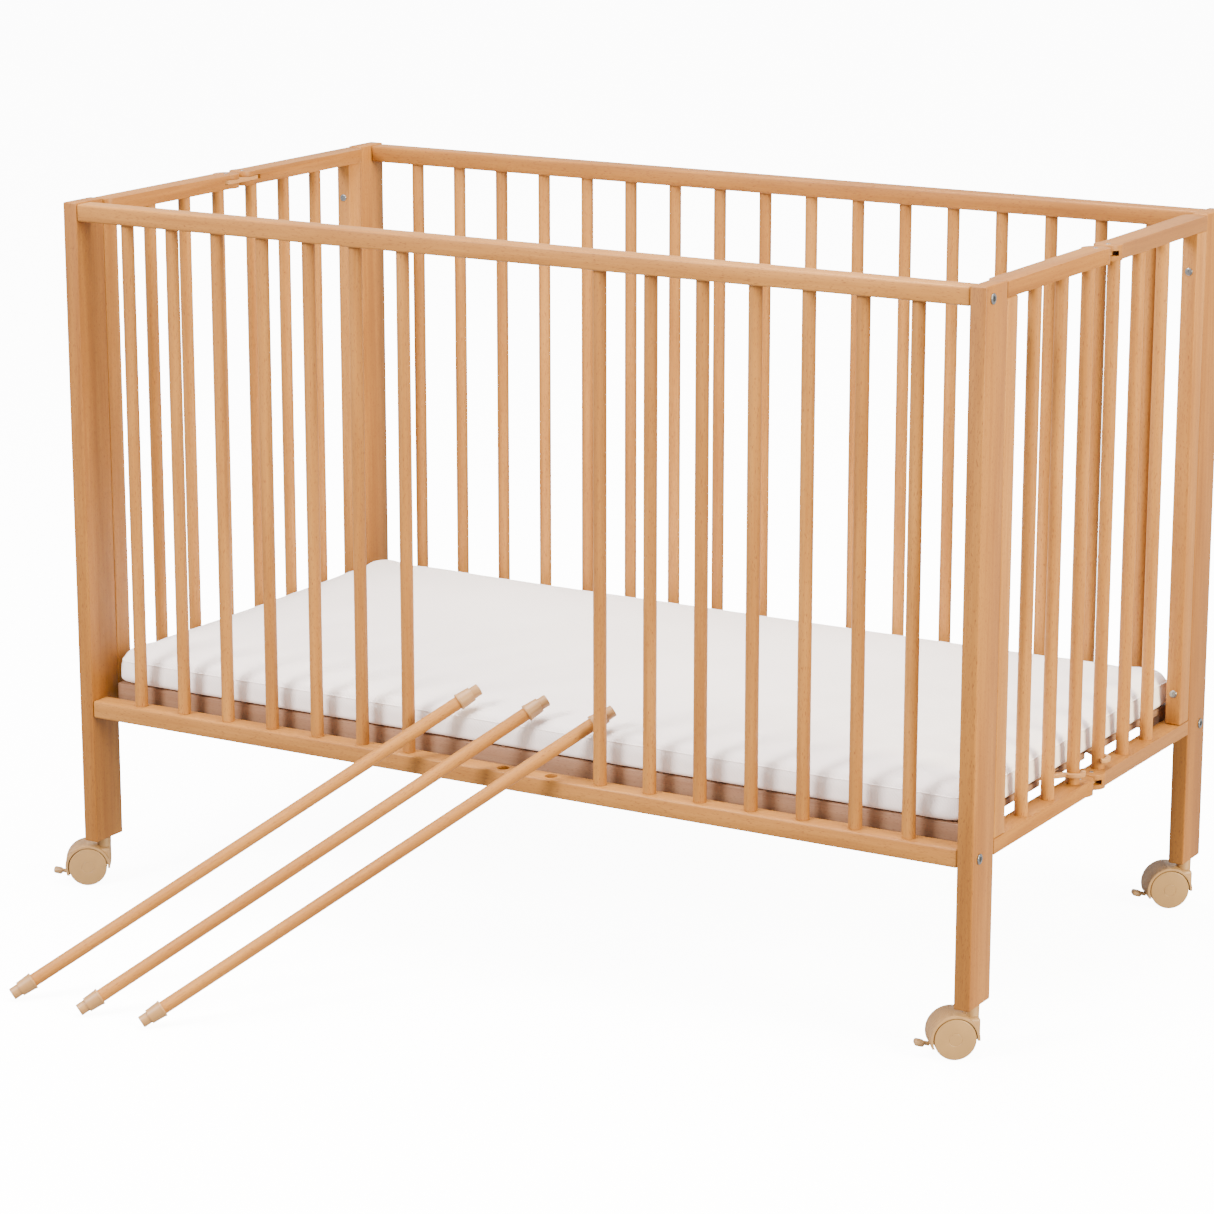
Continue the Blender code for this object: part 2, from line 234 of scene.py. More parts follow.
# %% A helper that adds and wires shader nodes
class Board:
    """A material's node tree, with short calls to add nodes."""

    def __init__(self, name):
        self.material = bpy.data.materials.new(name)
        self.material.use_nodes = True
        self.tree = self.material.node_tree
        self.shader = self.tree.nodes["Principled BSDF"]

    def node(self, kind, values=(), links=(), **settings):
        made = self.tree.nodes.new(kind)
        for key, value in settings.items():
            setattr(made, key, value)
        for key, value in dict(values).items():
            made.inputs[key].default_value = value
        for key, source in dict(links).items():
            self.tree.links.new(source, made.inputs[key])
        return made

    def ramp(self, source, stops):
        made = self.node("ShaderNodeValToRGB", links={"Fac": source})
        elements = made.color_ramp.elements
        elements[0].position, elements[0].color = stops[0][0], (*stops[0][1], 1)
        elements[1].position, elements[1].color = stops[-1][0], (*stops[-1][1], 1)
        for place, colour in stops[1:-1]:
            elements.new(place).color = (*colour, 1)
        return made.outputs["Color"]

    def mix(self, factor, a, b, how="MIX"):
        made = self.tree.nodes.new("ShaderNodeMix")
        made.data_type, made.blend_type = "RGBA", how
        for socket, value in ((made.inputs[0], factor), (made.inputs[6], a), (made.inputs[7], b)):
            if isinstance(value, bpy.types.NodeSocket):
                self.tree.links.new(value, socket)
            elif isinstance(value, tuple):
                socket.default_value = (*value, 1)
            else:
                socket.default_value = value
        return made.outputs[2]

    def noise(self, vector, scale, detail=3.0, rough=0.5):
        made = self.node(
            "ShaderNodeTexNoise",
            values={"Scale": scale, "Detail": detail, "Roughness": rough},
            links={"Vector": vector},
        )
        return made.outputs["Fac"]

    def bump(self, height, strength, distance):
        made = self.node(
            "ShaderNodeBump", values={"Strength": strength, "Distance": distance}, links={"Height": height}
        )
        self.tree.links.new(made.outputs["Normal"], self.shader.inputs["Normal"])

    def wear(self, *objs):
        for obj in objs:
            obj.data.materials.clear()
            obj.data.materials.append(self.material)


# %% Wood with its grain along one direction
WOOD_PALE = (0.425, 0.183, 0.038)
WOOD_MIDDLE = (0.360, 0.148, 0.028)
WOOD_DEEP = (0.300, 0.117, 0.021)
FLECK = (0.160, 0.055, 0.013)


def wood(name, along, pale=WOOD_PALE, middle=WOOD_MIDDLE, deep=WOOD_DEEP, fleck=FLECK, shine=0.05):
    """Lacquered wood whose grain runs along the given direction."""
    board = Board(name)
    turn = Vector(along).to_track_quat("Z", "Y").to_euler()
    place = board.node("ShaderNodeTexCoord").outputs["Object"]

    def stretched(length):
        made = board.node("ShaderNodeMapping", links={"Vector": place}, vector_type="TEXTURE")
        made.inputs["Rotation"].default_value = turn
        made.inputs["Scale"].default_value = (1, 1, length)
        return made.outputs["Vector"]

    tone = board.noise(stretched(9), 16, 2.0)
    bands = board.noise(stretched(22), 120, 3.0, 0.6)
    streaks = board.noise(stretched(45), 620, 2.0, 0.6)
    marks = board.noise(stretched(6), 1250, 0.0)
    blend = board.mix(0.45, tone, bands)
    colour = board.ramp(blend, ((0.36, deep), (0.50, middle), (0.62, pale)))
    lines = board.ramp(streaks, ((0.30, (0.86, 0.82, 0.78)), (0.55, (1.0, 1.0, 1.0))))
    colour = board.mix(0.55, colour, lines, "MULTIPLY")
    dashes = board.ramp(marks, ((0.26, (0.60, 0.60, 0.60)), (0.32, (0.0, 0.0, 0.0))))
    colour = board.mix(dashes, colour, fleck)
    board.tree.links.new(colour, board.shader.inputs["Base Color"])
    board.shader.inputs["Roughness"].default_value = 0.50
    board.shader.inputs["Specular IOR Level"].default_value = 0.25
    board.shader.inputs["Coat Weight"].default_value = shine
    board.shader.inputs["Coat Roughness"].default_value = 0.32
    board.bump(streaks, 0.10, 0.0004)
    return board


upright_beech = wood("beech_upright", (0, 0, 1))
long_beech = wood("beech_long", (1, 0, 0))
# The posts, the rear rails and the end half rails wear a darker copy of the beech. This second tone is
# painted shade: these pieces fall darker in the light, and that shade is put into their colour.
SHADED_BEECH_COLOURS = (0.345, 0.140, 0.024), (0.290, 0.112, 0.018), (0.235, 0.086, 0.013), (0.130, 0.042, 0.010)
post_beech_shaded = wood("beech_post", (0, 0, 1), *SHADED_BEECH_COLOURS)
rear_beech_shaded = wood("beech_rear", (1, 0, 0), *SHADED_BEECH_COLOURS)
cross_beech_shaded = wood("beech_cross", (0, 1, 0), *SHADED_BEECH_COLOURS)
print("beech in two tones, with its grain in three directions")

# %% [markdown]
# Plywood shows a paler, blander face. The base is of the same tan wood as the frame but duller, since
# it isn't lacquered. Both take the same recipe with their own colours.

# %% Plywood and base wood
PLY_PALE = (0.500, 0.265, 0.100)
PLY_MIDDLE = (0.440, 0.215, 0.075)
PLY_DEEP = (0.360, 0.165, 0.052)
PLY_FLECK = (0.250, 0.105, 0.035)
ply = wood("plywood_face", (0, 1, 0), PLY_PALE, PLY_MIDDLE, PLY_DEEP, PLY_FLECK, 0.02)
ply_long = wood("plywood_long", (1, 0, 0), PLY_PALE, PLY_MIDDLE, PLY_DEEP, PLY_FLECK, 0.02)
BASE_COLOURS = (0.310, 0.170, 0.100), (0.265, 0.142, 0.082), (0.220, 0.112, 0.062), (0.150, 0.072, 0.038)
base_finish = wood("base_plain", (0, 1, 0), *BASE_COLOURS, 0.0)
print("plywood for links and latches, plain wood for the base")

# %% [markdown]
# The casters and the caps of the loose bars are moulded plastic in beige. Real moulded plastic isn't
# perfectly even: a very fine grain breaks up the highlights.

# %% Moulded plastic
def plastic(name, colour, roughness):
    board = Board(name)
    place = board.node("ShaderNodeTexCoord").outputs["Object"]
    cloud = board.noise(place, 45, 2.0)
    darker = tuple(v * 0.93 for v in colour)
    tint = board.ramp(cloud, ((0.40, darker), (0.60, colour)))
    board.tree.links.new(tint, board.shader.inputs["Base Color"])
    board.shader.inputs["Roughness"].default_value = roughness
    board.bump(board.noise(place, 1600, 1.0), 0.10, 0.0002)
    return board


HOOD_BEIGE = (0.350, 0.195, 0.075)
DISC_BEIGE = (0.340, 0.190, 0.068)
CAP_BEIGE = (0.370, 0.190, 0.066)
hood_plastic = plastic("plastic_hood", HOOD_BEIGE, 0.42)
disc_plastic = plastic("plastic_disc", DISC_BEIGE, 0.45)
cap_plastic = plastic("plastic_cap", CAP_BEIGE, 0.45)
print("three beige plastics")

# %% [markdown]
# Bolts and screws are zinc-plated steel: grey, bright and a little blurred.

# %% Plated steel
def steel():
    board = Board("zinc_steel")
    place = board.node("ShaderNodeTexCoord").outputs["Object"]
    tint = board.ramp(board.noise(place, 900, 2.0), ((0.35, (0.20, 0.21, 0.22)), (0.65, (0.34, 0.35, 0.36))))
    board.tree.links.new(tint, board.shader.inputs["Base Color"])
    board.shader.inputs["Metallic"].default_value = 1.0
    board.shader.inputs["Roughness"].default_value = 0.30
    return board


zinc = steel()

# %% [markdown]
# The mattress cover is a knitted cloth in warm white. Its loops are far too small to model, so a fine
# pattern of two crossed waves gives the cloth its grain, and a broad soft noise keeps it from looking
# like plastic.

# %% Knitted cover
def knit(name, colour):
    board = Board(name)
    place = board.node("ShaderNodeTexCoord").outputs["Object"]
    along_x = board.node(
        "ShaderNodeTexWave", values={"Scale": 150.0, "Distortion": 0.6}, links={"Vector": place}
    )
    along_x.bands_direction = "X"
    along_y = board.node(
        "ShaderNodeTexWave", values={"Scale": 130.0, "Distortion": 0.6}, links={"Vector": place}
    )
    along_y.bands_direction = "DIAGONAL"
    loops = board.mix(0.5, along_x.outputs["Fac"], along_y.outputs["Fac"])
    shaded = tuple(v * 0.955 for v in colour)
    soft = board.ramp(board.noise(place, 7, 3.0), ((0.35, shaded), (0.65, colour)))
    grain = board.ramp(loops, ((0.2, (0.95, 0.95, 0.95)), (0.8, (1.0, 1.0, 1.0))))
    tint = board.mix(0.8, soft, grain, "MULTIPLY")
    board.tree.links.new(tint, board.shader.inputs["Base Color"])
    board.shader.inputs["Roughness"].default_value = 0.92
    board.shader.inputs["Sheen Weight"].default_value = 0.15
    board.shader.inputs["Sheen Roughness"].default_value = 0.5
    board.bump(loops, 0.35, 0.0006)
    return board


cover_cloth = knit("knit_cover", (0.96, 0.870, 0.845))
print("knit for the mattress")

# %% [markdown]
# ## Posts and stiles
#
# A post is a flat board stood on its narrow edge, and a stile is a second, thinner board glued beside
# it that stiffens the corner. Both start as blocks. The bevel rounds every edge by the millimetre and
# a half that a router leaves, which is what catches the light.

# %% Posts and stiles
EDGE_ROUND = 0.0018


def board_piece(name, node, finish, edge=EDGE_ROUND):
    """A bevelled board the size of a CAD node, in its place."""
    low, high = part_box(node)
    made = block(name, low, high)
    bring_in(made, "BEVEL", width=edge, segments=3, limit_method="ANGLE")
    smooth(made)
    finish.wear(made)
    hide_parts(node)
    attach(made, "frame")
    return made


for side_word, _, end_word, _ in CORNERS:
    corner = f"{side_word}_{end_word}"
    board_piece(f"board_post_{corner}", f"post_{corner}", post_beech_shaded)
    board_piece(f"board_stile_{corner}", f"stile_{corner}", upright_beech)
print("4 posts and 4 stiles")

# %% [markdown]
# ## The long sides
#
# Each side is two rails with seventeen turned bars between them. Three bars of the front lift out, so
# their sockets stand open in the rails. A socket is a blind hole: a short cylinder cut from the rail.

# %% Front rails with three open sockets
RAIL_ROUND = 0.0026
BARS = 17
LIFTED = (8, 9, 10)
BAR_RADIUS = 0.008
SOCKET_RADIUS = 0.0079
post_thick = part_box("post_front_left")[1].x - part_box("post_front_left")[0].x


def bar_place(number):
    """How far along X a long side's bar stands, numbered from 1 at the left."""
    inner = 2 * (HALF_LENGTH - post_thick)
    return PEN.x - inner / 2 + inner * number / (BARS + 1)


def front_rail(name, node, low_cut, high_cut):
    made = board_piece(name, node, long_beech, RAIL_ROUND)
    y = sum(corner.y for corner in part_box(node)) / 2
    for number in LIFTED:
        at = bar_place(number)
        drill = round_bar("drill", (at, y, low_cut), (at, y, high_cut), SOCKET_RADIUS, 32)
        combine(made, drill, "DIFFERENCE")
    smooth(made)
    return made


top_low, top_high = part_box("rail_front_top")
low_low, low_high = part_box("rail_front_low")
front_rail("front_top_rail", "rail_front_top", top_low.z - 0.01, top_low.z + 0.014)
front_rail("front_low_rail", "rail_front_low", low_high.z - 0.014, low_high.z + 0.01)
print("front rails, sockets at", [round(bar_place(n), 3) for n in LIFTED])

# %% Front bars
for number in range(1, BARS + 1):
    if number in LIFTED:
        continue
    node = f"bar_front_{number:02d}"
    low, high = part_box(node)
    x, y = (low.x + high.x) / 2, (low.y + high.y) / 2
    bar = round_bar(f"front_bar_{number:02d}", (x, y, low.z), (x, y, high.z), BAR_RADIUS)
    smooth(bar)
    upright_beech.wear(bar)
    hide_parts(node)
    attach(bar, "frame")
print(BARS - len(LIFTED), "front bars")

# %% [markdown]
# The back is the same without the sockets. Its rails and bars are glued together, so they all stand
# for one solid of the working model, but each keeps its own mesh.

# %% Rear side
BAR_SUNK = 0.002
back_low, back_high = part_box("side_rear")
rear_y = (back_low.y + back_high.y) / 2
rear_pieces = []
for name, low_z, high_z in (
    ("rear_top_rail", top_low.z, top_high.z),
    ("rear_low_rail", low_low.z, low_high.z),
):
    rail = block(name, (back_low.x, back_low.y, low_z), (back_high.x, back_high.y, high_z))
    bring_in(rail, "BEVEL", width=RAIL_ROUND, segments=3, limit_method="ANGLE")
    rear_beech_shaded.wear(rail)
    rear_pieces.append(rail)
for number in range(1, BARS + 1):
    x = bar_place(number)
    foot = (x, rear_y, low_high.z - BAR_SUNK)
    head = (x, rear_y, top_low.z + BAR_SUNK)
    bar = round_bar(f"rear_bar_{number:02d}", foot, head, BAR_RADIUS)
    upright_beech.wear(bar)
    rear_pieces.append(bar)
for piece in rear_pieces:
    smooth(piece)
    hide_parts("side_rear")
    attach(piece, "frame")
print(len(rear_pieces), "pieces in the rear side")

# %% [markdown]
# ## The folding ends
#
# An end is four half rails with three bars in each half. Where two halves meet, each is rounded about
# its pin and slotted, and a plywood link in the slot joins the two pins. The half rail starts as a
# block with a round knuckle joined to its end. The knuckle is a little broader than the rail, so it
# stands proud on both faces. The slot is cut by a saw disc from inside, so it is longer on the inner face.

# %% Half rails
TAIL_ROUND = 0.013
KNUCKLE = 0.0170
PIN_OFF = 0.018
END_RAIL_HALF = 0.014
SLOT_HIGH = 0.0060
CUTTER_RADIUS = 0.040
CUTTER_IN = 0.022
END_BARS = (0.0365, 0.1095, 0.1825)
end_heights = {}
for part in ("top", "low"):
    link_low, link_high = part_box(f"link_left_{part}")
    end_heights[part] = (link_low.z - 0.0003, link_high.z - 0.0003)


def half_rail(name, end, side, part):
    """One half of an end's top or low rail."""
    low_z, high_z = end_heights[part]
    x = PEN.x + end * (HALF_LENGTH - END_RAIL_HALF)
    tail = HALF_DEPTH - 0.0548
    y = sorted((PEN.y + side * PIN_OFF, PEN.y + side * tail))
    rail = block(name, (x - END_RAIL_HALF, y[0], low_z), (x + END_RAIL_HALF, y[1], high_z))
    select_edges(
        rail,
        lambda a, b: abs(a.z - b.z) > 0.01 and (a.x - x) * end < 0 and abs(a.y - PEN.y) > tail - 0.001,
    )
    bpy.ops.mesh.bevel(offset=TAIL_ROUND, segments=8, affect="EDGES")
    bpy.ops.object.mode_set(mode="OBJECT")
    knuckle_at = (x, PEN.y + side * PIN_OFF)
    knuckle = round_bar("knuckle", (*knuckle_at, low_z), (*knuckle_at, high_z), KNUCKLE, 40)
    combine(rail, knuckle, "UNION")
    bring_in(rail, "BEVEL", width=0.0016, segments=2, limit_method="ANGLE", angle_limit=math.radians(40))
    middle = (low_z + high_z) / 2
    saw = (x - end * CUTTER_IN, PEN.y)
    cut = round_bar("saw", (*saw, middle - SLOT_HIGH / 2), (*saw, middle + SLOT_HIGH / 2), CUTTER_RADIUS, 64)
    combine(rail, cut, "DIFFERENCE")
    smooth(rail)
    cross_beech_shaded.wear(rail)
    return rail


for end_word, end in (("left", -1), ("right", 1)):
    for side_word, side in (("front", -1), ("rear", 1)):
        node = f"end_{end_word}_{side_word}"
        made = [
            half_rail(f"half_rail_{part}_{end_word}_{side_word}", end, side, part)
            for part in ("top", "low")
        ]
        x = PEN.x + end * (HALF_LENGTH - END_RAIL_HALF)
        for place, off in enumerate(END_BARS, 1):
            y = PEN.y + side * off
            bar = round_bar(
                f"end_bar_{end_word}_{side_word}_{place}",
                (x, y, end_heights["low"][1] - 0.002),
                (x, y, end_heights["top"][0] + 0.002),
                BAR_RADIUS,
            )
            smooth(bar)
            upright_beech.wear(bar)
            made.append(bar)
        for piece in made:
            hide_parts(node)
            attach(piece, "frame")
print("8 half rails and 12 end bars")

# %% [markdown]
# The link is a strip of plywood with two round ends, held by a steel pin at each end.

# %% Links and pins
LINK_SHIFT = 0.005
LINK_HALF = 0.012
LINK_REACH = 0.025
LINK_THICK = 0.005
PIN_RADIUS = 0.003
for end_word, end in (("left", -1), ("right", 1)):
    for part in ("top", "low"):
        low_z, high_z = end_heights[part]
        middle = (low_z + high_z) / 2
        x = PEN.x + end * (HALF_LENGTH - END_RAIL_HALF)
        at = x - end * LINK_SHIFT
        low_face, high_face = middle - LINK_THICK / 2, middle + LINK_THICK / 2
        link = block(
            f"link_strip_{end_word}_{part}",
            (at - LINK_HALF, PEN.y - LINK_REACH, low_face),
            (at + LINK_HALF, PEN.y + LINK_REACH, high_face),
        )
        for side in (-1, 1):
            tip_y = PEN.y + side * LINK_REACH
            tip = round_bar("tip", (at, tip_y, low_face), (at, tip_y, high_face), LINK_HALF, 48)
            combine(link, tip, "UNION")
        bring_in(link, "BEVEL", width=0.0005, segments=2, limit_method="ANGLE")
        smooth(link)
        ply.wear(link)
        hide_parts(f"link_{end_word}_{part}")
        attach(link, "frame")
        pins = []
        for side in (-1, 1):
            y = PEN.y + side * PIN_OFF
            pin = round_bar("pin", (x, y, low_z - 0.0002), (x, y, high_z + 0.0003), PIN_RADIUS, 24)
            bring_in(pin, "BEVEL", width=0.0004, segments=2, limit_method="ANGLE")
            pins.append(pin)
        pins = join(pins, f"hinge_pins_{end_word}_{part}")
        smooth(pins)
        zinc.wear(pins)
        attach(pins, "frame")
print("4 links with 8 pins")

# %% [markdown]
# ## Bolts and screws
#
# A bolt with a hexagon socket goes through each post into the end of each long rail, and a cross-head
# screw holds each stile to the hinged end. A bolt head is a short cylinder: the outer face is inset and
# pushed in for the socket, and the rim is bevelled.

# %% One bolt head and one screw head, then their copies
BOLT_RADIUS = 0.0062
BOLT_OFF_EDGE = 0.0164
BOLT_HEIGHTS = (0.8700, 0.2368)
SCREW_RADIUS = 0.0048
SCREW_HEIGHTS = (0.818, 0.289)
CROSS = (
    ((-0.0024, 0.0007, -0.0005), (0.0024, 0.003, 0.0005)),
    ((-0.0005, 0.0007, -0.0024), (0.0005, 0.003, 0.0024)),
)


def bolt_head(name):
    """A socket bolt's head facing +X, its underside at the origin."""
    head = round_bar(name, (-0.0004, 0, 0), (0.0017, 0, 0), BOLT_RADIUS, 36)
    bring_in(head, "BEVEL", width=0.0006, segments=3, limit_method="ANGLE")
    socket = round_bar("socket", (0.0003, 0, 0), (0.003, 0, 0), 0.0033, 6)
    combine(head, socket, "DIFFERENCE")
    return smooth(head)


def screw_head(name):
    """A domed cross-head screw facing +Y, its underside at the origin."""
    head = round_bar(name, (0, -0.0004, 0), (0, 0.0014, 0), SCREW_RADIUS, 32)
    bring_in(head, "BEVEL", width=0.0008, segments=3, limit_method="ANGLE")
    for low, high in CROSS:
        combine(head, block("cross", low, high), "DIFFERENCE")
    return smooth(head)


bolt = bolt_head("bolt_pattern")
screw = screw_head("screw_pattern")
for side_word, side, end_word, end in CORNERS:
    heads = []
    for height in BOLT_HEIGHTS:
        spot = Vector((PEN.x + end * HALF_LENGTH, PEN.y + side * (HALF_DEPTH - BOLT_OFF_EDGE), height))
        heads.append(twin(bolt, "bolt", Matrix.Translation(spot) @ Matrix.Diagonal((end, 1, 1, 1))))
    bolts = join(heads, f"bolts_{side_word}_{end_word}")
    zinc.wear(bolts)
    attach(bolts, "frame")
    stile_low, stile_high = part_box(f"stile_{side_word}_{end_word}")
    inner_y = stile_high.y if side < 0 else stile_low.y
    heads = []
    for height in SCREW_HEIGHTS:
        spot = Vector(((stile_low.x + stile_high.x) / 2, inner_y, height))
        heads.append(twin(screw, "screw", Matrix.Translation(spot) @ Matrix.Diagonal((1, -side, 1, 1))))
    screws = join(heads, f"screws_{side_word}_{end_word}")
    zinc.wear(screws)
    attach(screws, "frame")
bpy.data.objects.remove(bolt)
bpy.data.objects.remove(screw)
print("8 bolts and 8 screws")

# %% [markdown]
# ## The slatted base
#
# The base is a front and a back rail with flat slats across them. The two end slats are broad and are
# notched from below, where the latches are screwed on. It is made of blocks, as a joiner would.

# %% Base
base_long = wood("base_along", (1, 0, 0), *BASE_COLOURS, 0.0)
BASE_RIM = 0.035
SLAT_PITCH = 0.090
SLAT_WIDTH = 0.045
SLAT_THICK = 0.008
NOTCH_X = (0.566, 0.600)
NOTCH_Y = (0.036, 0.094)
NOTCH_CEILING = 0.0009
base_low, base_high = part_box("base")
base_pieces = []
for side_word, near in (("front", base_low.y), ("rear", base_high.y - BASE_RIM)):
    far = near + BASE_RIM
    rail = block(f"base_rail_{side_word}", (base_low.x, near, base_low.z), (base_high.x, far, base_high.z))
    bring_in(rail, "BEVEL", width=0.0015, segments=3, limit_method="ANGLE")
    base_long.wear(rail)
    base_pieces.append(rail)
for number in range(13):
    middle = PEN.x + (number - 6) * SLAT_PITCH
    left, right = middle - SLAT_WIDTH / 2, middle + SLAT_WIDTH / 2
    if number == 0:
        left = base_low.x
    if number == 12:
        right = base_high.x
    slat = block(
        f"base_slat_{number + 1:02d}",
        (left, base_low.y + BASE_RIM + 0.0002, base_high.z - SLAT_THICK),
        (right, base_high.y - BASE_RIM - 0.0002, base_high.z),
    )
    bring_in(slat, "BEVEL", width=0.0012, segments=2, limit_method="ANGLE")
    if number in (0, 12):
        end = -1 if number == 0 else 1
        for side in (-1, 1):
            across = sorted(PEN.x + end * v for v in NOTCH_X)
            along = sorted(PEN.y + side * v for v in NOTCH_Y)
            ceiling = base_high.z - NOTCH_CEILING
            notch = block("notch", (across[0], along[0], base_low.z), (across[1], along[1], ceiling))
            combine(slat, notch, "DIFFERENCE")
    base_finish.wear(slat)
    base_pieces.append(slat)
for piece in base_pieces:
    smooth(piece)
    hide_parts("base")
    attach(piece, "frame")
print(len(base_pieces), "pieces in the base")

# %% [markdown]
# ## Latches
#
# Four plywood hooks turn on a screw under the base, and each grips an end bar. Their outline is exact
# in the working model, so a copy of that mesh is merged, its edges are rounded, and it is shaded.

# %% Latches with their screws
for end_word, end in (("left", -1), ("right", 1)):
    for side_word, side in (("front", -1), ("rear", 1)):
        node = f"latch_{end_word}_{side_word}"
        hook = bpy.data.objects.new(f"hook_{end_word}_{side_word}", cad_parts[node].data.copy())
        hook.data.name = hook.name
        bpy.context.scene.collection.objects.link(hook)
        pick(hook)
        bpy.ops.object.mode_set(mode="EDIT")
        bpy.ops.mesh.select_all(action="SELECT")
        bpy.ops.mesh.remove_doubles(threshold=0.00001)
        bpy.ops.mesh.dissolve_limited(angle_limit=math.radians(2))
        bpy.ops.object.mode_set(mode="OBJECT")
        bring_in(hook, "BEVEL", width=0.0006, segments=2, limit_method="ANGLE", angle_limit=math.radians(50))
        smooth(hook, 30)
        ply_long.wear(hook)
        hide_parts(node)
        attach(hook, f"latch_{end_word}_{side_word}")
print("4 hooks")

# %% [markdown]
# ## The three loose bars
#
# A lifted bar is the same beech bar with a plastic cap on each end. The cap is a collar a little wider
# than the wood and a thinner tip that goes into the socket. The bars lean here from the floor
# onto the mattress, so each has its own wood, with the grain along its lean.

# %% Loose bars
LOOSE = (
    ((-0.4339, -0.7263, 0.0066), (-0.0565, -0.2870, 0.3298)),
    ((-0.3320, -0.7293, 0.0066), (0.0395, -0.2870, 0.3298)),
    ((-0.2450, -0.7243, 0.0066), (0.1315, -0.2870, 0.3298)),
)
TIP_RADIUS, TIP_LONG = 0.0073, 0.011
COLLAR_RADIUS, COLLAR_FAR_RADIUS, COLLAR_LONG = 0.0090, 0.0104, 0.019
RIM_LONG = 0.0022


def cap(name, end, inward):
    """A stepped cap whose tip is at the end and which covers the bar inward."""
    tip = round_bar("tip", end, end + inward * (TIP_LONG + 0.002), TIP_RADIUS, 32)
    bring_in(tip, "BEVEL", width=0.0011, segments=3, limit_method="ANGLE")
    ledge, mouth = end + inward * TIP_LONG, end + inward * (TIP_LONG + COLLAR_LONG)
    collar_end = mouth - inward * RIM_LONG
    collar = round_bar("collar", ledge, collar_end, COLLAR_RADIUS, 40, COLLAR_FAR_RADIUS - 0.0004)
    rim = round_bar("rim", mouth - inward * (RIM_LONG + 0.0004), mouth, COLLAR_FAR_RADIUS, 40)
    combine(collar, rim, "UNION")
    bring_in(collar, "BEVEL", width=0.0005, segments=2, limit_method="ANGLE", angle_limit=math.radians(40))
    made = combine(collar, tip, "UNION")
    made.name = made.data.name = name
    smooth(made)
    cap_plastic.wear(made)
    return made


for number, (low, high) in enumerate(LOOSE, 1):
    low, high = Vector(low) + PEN, Vector(high) + PEN
    lean = (high - low).normalized()
    body = f"bar_loose_{number}"
    inset = lean * (TIP_LONG + COLLAR_LONG - 0.002)
    bar = round_bar(f"lifted_bar_{number}", low + inset, high - inset, BAR_RADIUS)
    smooth(bar)
    wood(f"beech_lifted_{number}", lean).wear(bar)
    low_cap = cap(f"cap_low_{number}", low, lean)
    high_cap = cap(f"cap_high_{number}", high, -lean)
    for piece in (bar, low_cap, high_cap):
        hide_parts(body)
        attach(piece, body)
print("3 loose bars with 6 caps")

# %% [markdown]
# ## Casters
#
# A furniture caster has two wheels under one hood. The hood is a half drum that runs into an upright
# wall below the stem, with fine ribs over its back. The disc of each wheel nearly fills the hood's rim
# and leaves a thin dark gap. All four are alike, so one is modelled at the origin with its stem upright
# on the Z axis, trailing along -X, and copies are turned and moved under the posts.

# %% The pattern caster's hood
TRAIL = 0.021
CASTER_TURN = math.radians(36)
REAR_LEFT_TURN = math.radians(-30)
WHEEL_RADIUS = 0.0245
HUB = Vector((-TRAIL, 0, WHEEL_RADIUS))
HOOD_RADIUS = 0.0286
HOOD_HALF = 0.0200
ROOM_RADIUS = 0.0256


def hub_point(angle, radius, y=0.0):
    """A point about the hub; 0 degrees is towards the stem and 90 is up."""
    turn = math.radians(angle)
    return HUB + Vector((radius * math.cos(turn), y, radius * math.sin(turn)))


def across(name, radius, near, far, sides=64):
    """A round shape along the axle."""
    return round_bar(name, (HUB.x, near, HUB.z), (HUB.x, far, HUB.z), radius, sides)


hood = across("hood_pattern", HOOD_RADIUS, -HOOD_HALF, HOOD_HALF, 72)
wall = block("wall", (-0.012, -0.0150, 0.0225), (0.0086, 0.0150, 0.0480))
bring_in(wall, "BEVEL", width=0.0040, segments=4, limit_method="ANGLE")
combine(hood, wall, "UNION")
column = round_bar("column", (0, 0, 0.030), (0, 0, FOOT - 0.0004), 0.0086, 40, 0.0092)
combine(hood, column, "UNION")
for way in (-1, 1):
    room = across("room", ROOM_RADIUS, way * 0.0036, way * 0.030)
    combine(hood, room, "DIFFERENCE")
below = block("below", (-0.06, -0.03, -0.01), (0.02, 0.03, 0.0140))
combine(hood, below, "DIFFERENCE")
right_below = block("right_below", (-0.012, -0.03, 0.0), (0.02, 0.03, 0.0228))
combine(hood, right_below, "DIFFERENCE")
bring_in(hood, "BEVEL", width=0.0005, segments=2, limit_method="ANGLE", angle_limit=math.radians(50))
print("hood shell")

# %% Ribs over the hood's back
ribs = []
for step in range(27):
    angle = 96 + step * 3.6
    if angle > 198:
        break
    middle = hub_point(angle, HOOD_RADIUS)
    rib = block("rib", (-0.00035, -HOOD_HALF + 0.0022, -0.00045), (0.00035, HOOD_HALF - 0.0022, 0.00045))
    rib.matrix_world = Matrix.Translation(middle) @ Matrix.Rotation(-math.radians(angle - 90), 4, "Y")
    settle(rib)
    bring_in(rib, "BEVEL", width=0.0002, segments=1, limit_method="ANGLE")
    ribs.append(rib)
hood = join([hood, *ribs], "hood_pattern")
smooth(hood, 40)
hood_plastic.wear(hood)
print(len(ribs), "ribs")


# %% The pattern wheels and pedal
def wheel_disc(way):
    """One wheel: a drum whose outer face has a slight step and a ring about its middle."""
    disc = across("disc", WHEEL_RADIUS, way * 0.0045, way * 0.0196)
    bring_in(disc, "BEVEL", width=0.0012, segments=3, limit_method="ANGLE")
    select_faces(disc, lambda at, facing: facing.y * way > 0.99 and abs(at.y) > 0.019)
    bpy.ops.mesh.inset(thickness=0.0153, depth=0.0)
    bpy.ops.mesh.inset(thickness=0.0005, depth=-0.00035)
    bpy.ops.mesh.inset(thickness=0.0005, depth=0.00035)
    bpy.ops.object.mode_set(mode="OBJECT")
    return disc


